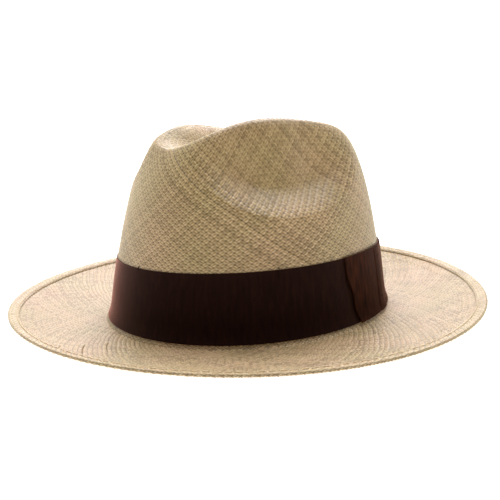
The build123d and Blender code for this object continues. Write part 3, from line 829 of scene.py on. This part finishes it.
def make_stitches():
    # the hem thread is painted paler than the straw, as painted light against the shade on the stitches'
    # near faces
    straw_thread = thread_material("straw_thread", (0.86, 0.69, 0.47))
    dark = thread_material("dark_thread", (0.022, 0.008, 0.005))
    tan = thread_material("sweatband_thread", (0.30, 0.17, 0.08))
    station = rim_station(HEM_STITCH_INSET)
    step = 360.0 / HEM_STITCHES
    arcs = [stitch_arc(hem_place(step * index, station), 0.9 * step, stand=0.12)
            for index in range(HEM_STITCHES)]
    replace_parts(thread_mesh("hem_stitch_line", arcs, straw_thread), "hem_stitching")
    arcs = [stitch_arc(wall_place(angle, band_top(angle), BAND_TACK_FACE, True), 3.0)
            for angle in (0, 60, 180, 270)]
    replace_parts(thread_mesh("band_tack_stitches", arcs, dark), "band_tacks")
    heights = (BAND_FOOT + 8.0, band_top(KNOT_ANGLE) - 6.0)
    arcs = [stitch_arc(wall_place(KNOT_ANGLE, height, BOW_TACK_FACE), 2.6) for height in heights]
    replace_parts(thread_mesh("bow_tack_stitches", arcs, dark), "bow_tacks")
    step = 360.0 / SWEATBAND_STITCHES
    arcs = [stitch_arc(wall_place(step * (index + 0.5), SWEATBAND_LOW + 2.5, HEAD_FACE), 0.6 * step)
            for index in range(SWEATBAND_STITCHES)]
    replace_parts(thread_mesh("sweatband_stitch_line", arcs, tan), "sweatband_stitching")
    arcs = [stitch_arc(wall_place(180.0, SWEATBAND_LOW + rise, HEAD_FACE), 2.2)
            for rise in range(20, 33, 3)]
    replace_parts(thread_mesh("sweatband_seam_thread", arcs, tan), "sweatband_seam_stitches")


def sweatband_surface(along, up):
    """Leather strip with a slightly wavy top edge that leans off the straw towards the head."""
    angle = -180.0 + 0.3 + 359.4 * along
    wave = 0.35 * np.sin(np.radians(5.0 * angle)) + 0.2 * np.sin(np.radians(11.0 * angle) + 2.0)
    height = SWEATBAND_LOW + (SWEATBAND_WIDTH + 0.5 * wave) * up
    return beside_wall(angle, height, SWEATBAND_MIDDLE - 0.5 * (1.0 + wave) * up ** 3, 0.0)


def reed_surface(along, up):
    """Thin cord turned into the sweatband's foot."""
    turn = 2.0 * math.pi * up
    radius = REED_DIAMETER / 2.0
    height = SWEATBAND_LOW - GAP - radius + radius * np.sin(turn)
    return beside_wall(360.0 * along, height, SWEATBAND_MIDDLE + radius * np.cos(turn), 0.0)


def small_loop(side):
    """Half of the sweatband's bow: a flat loop of narrow satin ribbon, wider away from its knot."""
    def surface(along, up):
        fold, reach = folded_back(along)
        angle = 180.0 + side * (0.3 + 7.4 * reach)
        half = 2.6 + 2.8 * smooth(reach / 0.8)
        height = SMALL_BOW_HEIGHT + half * (2.0 * up - 1.0)
        puff = 0.7 * np.sin(np.pi * reach) * np.cos(fold)
        return beside_wall(angle, height, HEAD_FACE - SMALL_BOW_LAYER - 0.45 * np.cos(fold) - puff, 0.0)
    return surface


def small_knot(along, up):
    across = 2.0 * along - 1.0
    height = SMALL_BOW_HEIGHT + 2.3 * (2.0 * up - 1.0)
    outward = HEAD_FACE - SMALL_BOW_LAYER - 1.3 + 0.9 * np.abs(across) ** 3
    return beside_wall(180.0 + 1.35 * across, height, outward, 0.0)


def label_surface(along, up):
    """A blank label on the sweatband, its ends lifted a little."""
    across = 2.0 * along - 1.0
    outward = HEAD_FACE - 0.5 - 0.35 * np.abs(across) ** 2.5
    return beside_wall(LABEL_ANGLE + 6.4 * across, LABEL_HEIGHT + 5.0 * (2.0 * up - 1.0), outward, 0.0)


def reed_mesh(columns=360, sides=12):
    along = np.arange(columns)[:, None] / columns * np.ones((1, sides))
    up = np.arange(sides)[None, :] / sides * np.ones((columns, 1))
    number = np.arange(columns * sides).reshape(columns, sides)
    beyond = np.roll(number, -1, axis=0)
    after, diagonal = np.roll(number, -1, axis=1), np.roll(beyond, -1, axis=1)
    faces = np.stack([number, beyond, diagonal, after], -1).reshape(-1, 4)
    return new_mesh("sweatband_reed_cord", reed_surface(along, up).reshape(-1, 3), faces.tolist())


def make_sweatband():
    leather = leather_material()
    band = ribbon("sweatband_strip", sweatband_surface, 560.0, 13, leather,
                  SWEATBAND_THICK, 0.0)
    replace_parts(band, "sweatband")
    reed = finish_piece(reed_mesh(), thread_material("reed_covering", (0.30, 0.16, 0.08)))
    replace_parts(reed, "sweatband_reed")
    satin = ribbon_material("sweatband_bow_satin", *SATIN_COLOURS, 0.3, (0.9, 0.5, 0.4))
    loop_length = SMALL_BOW_FLAT[0] / MM
    left = ribbon("sweatband_bow_left", small_loop(1.0), loop_length, 11, satin, thick=0.35, rib=0.05)
    right = ribbon("sweatband_bow_right", small_loop(-1.0), loop_length, 11, satin, thick=0.35, rib=0.05)
    ribbon("sweatband_bow_knot", small_knot, 4.4, 9, satin, thick=0.4, rib=0.05)
    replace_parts(left, "sweatband_bow")
    paper = thread_material("label_paper", (0.82, 0.78, 0.70))
    label = ribbon("size_label_paper", label_surface, 20.0, 7, paper, 0.2, 0.0)
    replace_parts(label, "size_label")


# ---------------------------------------------------------------- camera and studio
CAMERA_TURN = 45.0              # degrees from the hat's front towards the wearer's left
CAMERA_RISE = 12.018
CAMERA_ROLL = -0.994
CAMERA_DISTANCE = 0.460         # metres from the aim, which gives this perspective
AIM_HEIGHT = 0.0612
AIM_RIGHT, AIM_UP = 0.00013, -0.02255
METRES_ACROSS = 0.34399         # width of the picture at the aim
SENSOR_WIDTH = 36.0


def place_camera():
    """Front-left of the hat, a little above the brim."""
    turn, rise, roll = (math.radians(angle) for angle in (CAMERA_TURN, CAMERA_RISE, CAMERA_ROLL))
    away = Vector((math.sin(turn) * math.cos(rise), -math.cos(turn) * math.cos(rise), math.sin(rise)))
    level = (-away).cross(Vector((0.0, 0.0, 1.0))).normalized()
    steep = level.cross(-away)
    right = math.cos(roll) * level + math.sin(roll) * steep
    up = math.cos(roll) * steep - math.sin(roll) * level
    aim = Vector((0.0, 0.0, AIM_HEIGHT)) + AIM_RIGHT * right + AIM_UP * up
    camera_data = bpy.data.cameras.new("camera")
    camera_data.sensor_width = SENSOR_WIDTH
    camera_data.lens = SENSOR_WIDTH * CAMERA_DISTANCE / METRES_ACROSS
    camera = bpy.data.objects.new("camera", camera_data)
    place = Matrix((right, up, away)).transposed().to_4x4()
    place.translation = aim + CAMERA_DISTANCE * away
    camera.matrix_world = place
    bpy.context.scene.collection.objects.link(camera)
    bpy.context.scene.camera = camera


def area_light(name, place, size, power, colour):
    light = bpy.data.lights.new(name, "AREA")
    light.size = size
    light.energy = power
    light.color = colour
    item = bpy.data.objects.new(name, light)
    item.location = place
    item.rotation_euler = (Vector(LIGHTS_AIM) - Vector(place)).to_track_quat("-Z", "Y").to_euler()
    bpy.context.scene.collection.objects.link(item)


WHITE_SIDE = (-0.66, 0.66, 0.36)          # towards the bright wall behind the hat, seen from the camera
# brightness of the studio at places from its dim side, 0, to its white side, 1
WORLD_STEPS = ((0.0, 0.13), (0.5, 0.405), (0.72, 0.9), (0.88, 1.15), (1.0, 1.15))
LIGHTS_AIM = (0.0, 0.0, 0.06)
FLOOR_HALF_WIDTH = 6.0


def studio_world():
    """A white studio: bright behind and above the hat, dim on the near side."""
    world = bpy.data.worlds.new("studio")
    bpy.context.scene.world = world
    world.use_nodes = True
    tree = world.node_tree
    direction = tree.nodes.new("ShaderNodeTexCoord").outputs["Generated"]
    dot = tree.nodes.new("ShaderNodeVectorMath")
    dot.operation = "DOT_PRODUCT"
    dot.inputs[1].default_value = WHITE_SIDE
    tree.links.new(direction, dot.inputs[0])
    spread = tree.nodes.new("ShaderNodeMapRange")
    spread.inputs["From Min"].default_value = -1.0
    tree.links.new(dot.outputs["Value"], spread.inputs["Value"])
    steps = ((place, (level, level, level)) for place, level in WORLD_STEPS)
    colour = ramp(tree, spread.outputs["Result"], list(steps))
    tree.links.new(colour, tree.nodes["Background"].inputs["Color"])


def studio_floor():
    """A plain pale floor, bright enough to meet the white behind it."""
    far = FLOOR_HALF_WIDTH
    mesh = bpy.data.meshes.new("floor")
    mesh.from_pydata([(-far, -far, 0), (far, -far, 0), (far, far, 0), (-far, far, 0)], [], [(0, 1, 2, 3)])
    floor = bpy.data.objects.new("floor", mesh)
    bpy.context.scene.collection.objects.link(floor)
    material, _, shader = node_material("pale_floor")
    shader.inputs["Base Color"].default_value = (0.9, 0.9, 0.9, 1.0)
    shader.inputs["Roughness"].default_value = 1.0
    shader.inputs["Specular IOR Level"].default_value = 0.0
    shader.inputs["Emission Color"].default_value = (1.0, 1.0, 1.0, 1.0)
    shader.inputs["Emission Strength"].default_value = 0.88
    mesh.materials.append(material)


make_straw()
make_ribbons()
make_stitches()
make_sweatband()
place_camera()
studio_world()
studio_floor()
area_light("key_back", (-0.9, 0.9, 1.0), 1.1, 19.0, (1.0, 0.95, 1.03))
area_light("top", (-0.25, 0.3, 1.3), 0.9, 15.0, (1.0, 0.96, 0.97))
area_light("left", (-1.3, -0.55, 0.45), 0.8, 3.2, (1.0, 0.97, 0.93))
bpy.context.scene.view_settings.view_transform = "Standard"
